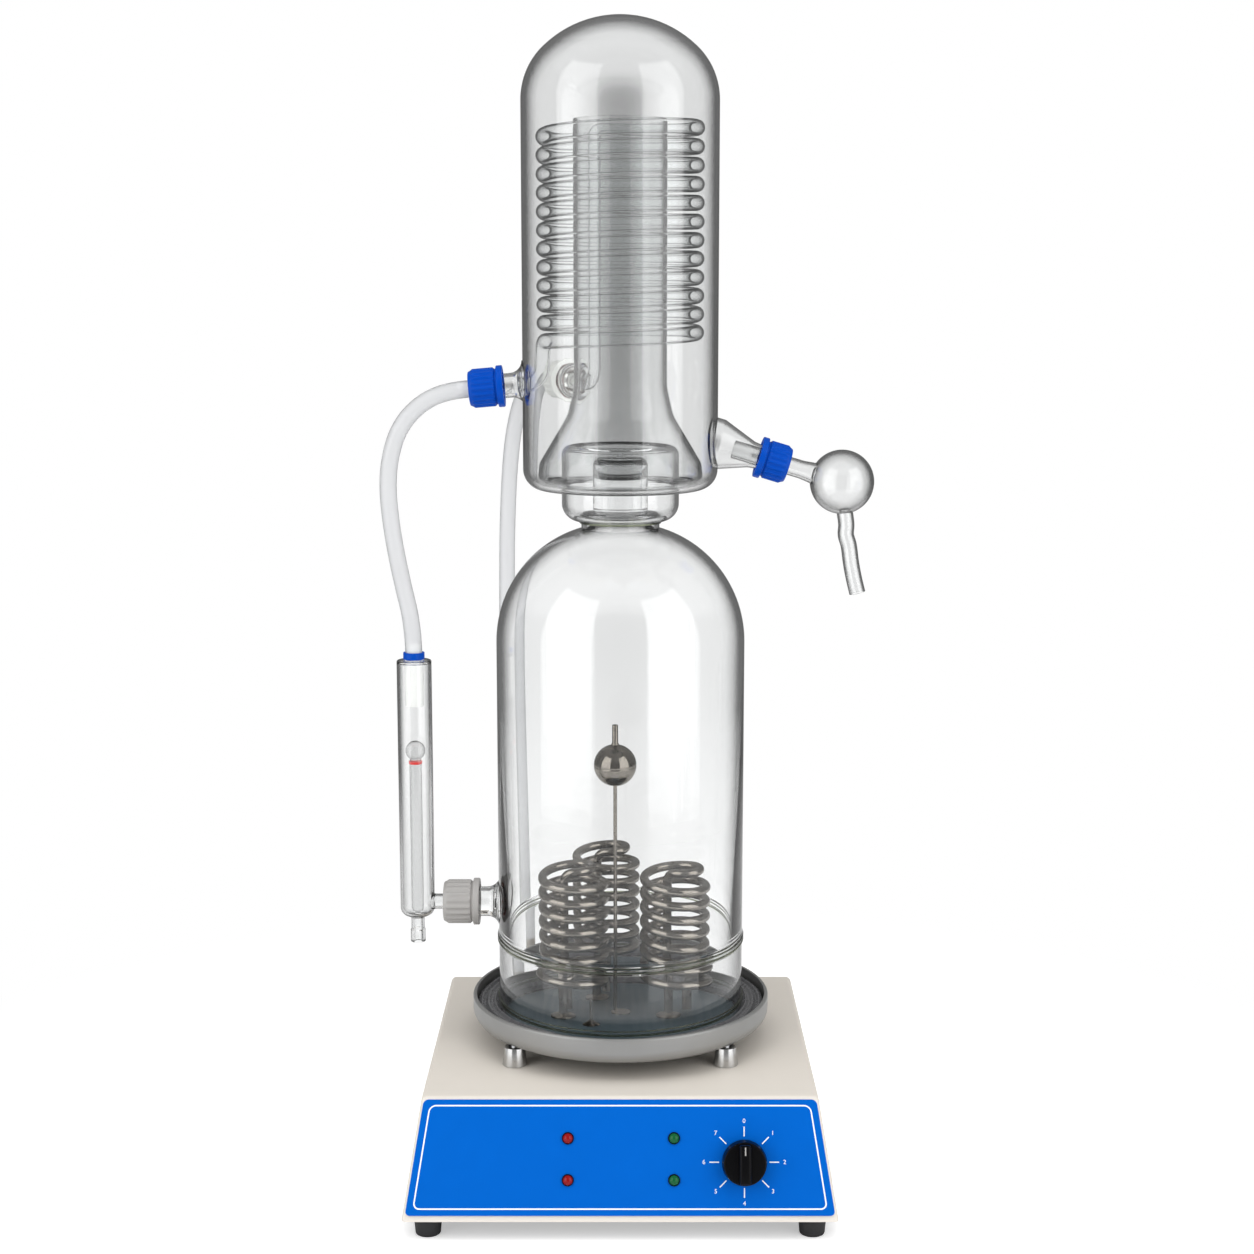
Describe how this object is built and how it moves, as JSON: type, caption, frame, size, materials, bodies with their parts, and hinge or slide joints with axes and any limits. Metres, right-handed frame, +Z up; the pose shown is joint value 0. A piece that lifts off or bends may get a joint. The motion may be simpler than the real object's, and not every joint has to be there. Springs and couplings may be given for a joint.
{
  "type": "glass water distiller",
  "caption": "Bench water distiller: a glass boiler bell with immersion heaters on a low control cabinet, under a glass condenser with a coil, hoses, a level tube and a delivery bulb.",
  "frame": {"origin": "on the bench under the axis of the boiler bell", "axes": "+Z up along the axis of the bell and the condenser, -Y towards the control panel, -X towards the level tube"},
  "size_m": [0.316, 0.2864, 0.7403],
  "materials": {
    "cream_paint": "satin",
    "blue_panel": "satin",
    "zinc_sheet": "satin",
    "black_rubber": "matte",
    "dark_gasket": "satin",
    "seal_rubber": "matte",
    "steel_screws": "satin",
    "red_lens": "gloss",
    "green_lens": "gloss",
    "black_plastic": "satin",
    "grey_plastic": "satin",
    "white_plastic": "satin",
    "brass_fitting": "satin",
    "tray_metal": "satin",
    "plate_steel": "polished",
    "nickel": "polished",
    "clear_glass": "gloss",
    "frosted_glass": "matte",
    "blue_cap": "gloss",
    "natural_cap": "satin",
    "hose_silicone": "satin",
    "red_mark": "satin"
  },
  "bodies": {
    "housing": {"bell_gasket": "dark_gasket", "boiler_bell": "clear_glass", "bottom_cover": "zinc_sheet", "cabinet_shell": "cream_paint", "condenser_coil": "clear_glass", "condenser_jacket": "clear_glass", "coolant_outlet_nozzle": "brass_fitting", "cover_screws": "steel_screws", "float_guide": "nickel", "front_panel": "blue_panel", "green_lamp_lower": "green_lens", "green_lamp_upper": "green_lens", "heater_coil_left": "nickel", "heater_coil_rear": "nickel", "heater_coil_right": "nickel", "heater_plate": "plate_steel", "heater_relay": "grey_plastic", "heater_seats": "nickel", "hose_connector": "blue_cap", "level_inlet_tube": "frosted_glass", "level_probe": "nickel", "level_tube": "clear_glass", "mains_gland": "black_plastic", "neck_collar": "clear_glass", "rear_panel": "cream_paint", "red_lamp_lower": "red_lens", "red_lamp_upper": "red_lens", "return_hose": "hose_silicone", "return_nozzle": "white_plastic", "rubber_feet": "black_rubber", "selector_nut": "steel_screws", "selector_switch": "black_plastic", "splash_cap": "clear_glass", "steam_riser": "clear_glass", "supply_hose": "hose_silicone", "supply_nozzle": "white_plastic", "tap_water_nozzle": "brass_fitting", "terminal_block": "white_plastic", "tray": "tray_metal", "tray_legs": "tray_metal", "tray_screws": "steel_screws", "water_valve": "black_plastic"},
    "selector": {"selector_knob": "black_plastic", "selector_shaft": "steel_screws"},
    "indicator_float": {"level_float": "clear_glass", "float_mark": "red_mark"},
    "ball": {"ball_float": "nickel", "float_rod": "nickel"},
    "delivery": {"delivery_bulb": "clear_glass"},
    "return_seal_body": {"return_cap_seal": "seal_rubber"},
    "return_cap_body": {"return_cap": "blue_cap"},
    "supply_seal_body": {"supply_cap_seal": "seal_rubber"},
    "supply_cap_body": {"supply_cap": "natural_cap"},
    "outlet_seal_body": {"outlet_cap_seal": "seal_rubber"},
    "outlet_cap_body": {"outlet_cap": "blue_cap"},
    "level_seal_body": {"level_cap_seal": "seal_rubber"},
    "level_cap_body": {"level_cap": "grey_plastic"}
  },
  "joints": [
    {"name": "selector_turn", "type": "hinge", "parent": "housing", "child": "selector", "pos_m": [0.0756, -0.12683, 0.04792], "axis": [0, -0.9642, 0.2652], "range_deg": [-157.5, 157.5]},
    {"name": "indicator_float_rise", "type": "slide", "parent": "housing", "child": "indicator_float", "axis": [0, 0, 1], "range_m": [0, 0.02]},
    {"name": "ball_float_rise", "type": "slide", "parent": "housing", "child": "ball", "axis": [0, 0, 1], "range_m": [0, 0.012]},
    {"name": "delivery_swivel", "type": "hinge", "parent": "housing", "child": "delivery", "pos_m": [0.062, 0, 0.4755], "axis": [0.9578, 0, -0.2874], "range_deg": [-90, 90]},
    {"name": "return_seal_slide", "type": "slide", "parent": "housing", "child": "return_seal_body", "axis": [-0.9962, 0, -0.0872], "range_m": [0, 0.0027]},
    {"name": "return_cap_turn", "type": "hinge", "parent": "return_seal_body", "child": "return_cap_body", "pos_m": [-0.062, 0, 0.5136], "axis": [-0.9962, 0, -0.0872], "range_deg": [0, 324]},
    {"name": "supply_seal_slide", "type": "slide", "parent": "housing", "child": "supply_seal_body", "axis": [-0.5, 0.866, 0], "range_m": [0, 0.0027]},
    {"name": "supply_cap_turn", "type": "hinge", "parent": "supply_seal_body", "child": "supply_cap_body", "pos_m": [-0.031, 0.05369, 0.5136], "axis": [-0.5, 0.866, 0], "range_deg": [0, 324]},
    {"name": "outlet_seal_slide", "type": "slide", "parent": "housing", "child": "outlet_seal_body", "axis": [0.9578, 0, -0.2874], "range_m": [0, 0.009]},
    {"name": "outlet_cap_turn", "type": "hinge", "parent": "outlet_seal_body", "child": "outlet_cap_body", "pos_m": [0.062, 0, 0.4755], "axis": [0.9578, 0, -0.2874], "range_deg": [0, 1080]},
    {"name": "level_seal_slide", "type": "slide", "parent": "housing", "child": "level_seal_body", "axis": [-1, 0, 0], "range_m": [0, 0.006]},
    {"name": "level_cap_turn", "type": "hinge", "parent": "level_seal_body", "child": "level_cap_body", "pos_m": [-0.0926, 0, 0.175], "axis": [-1, 0, 0], "range_deg": [0, 720]}
  ],
  "couplings": [
    {"joint": "return_seal_slide", "follows": "return_cap_turn", "m_per_rad": 0.00047746},
    {"joint": "supply_seal_slide", "follows": "supply_cap_turn", "m_per_rad": 0.00047746},
    {"joint": "outlet_seal_slide", "follows": "outlet_cap_turn", "m_per_rad": 0.00047746},
    {"joint": "level_seal_slide", "follows": "level_cap_turn", "m_per_rad": 0.00047746}
  ]
}
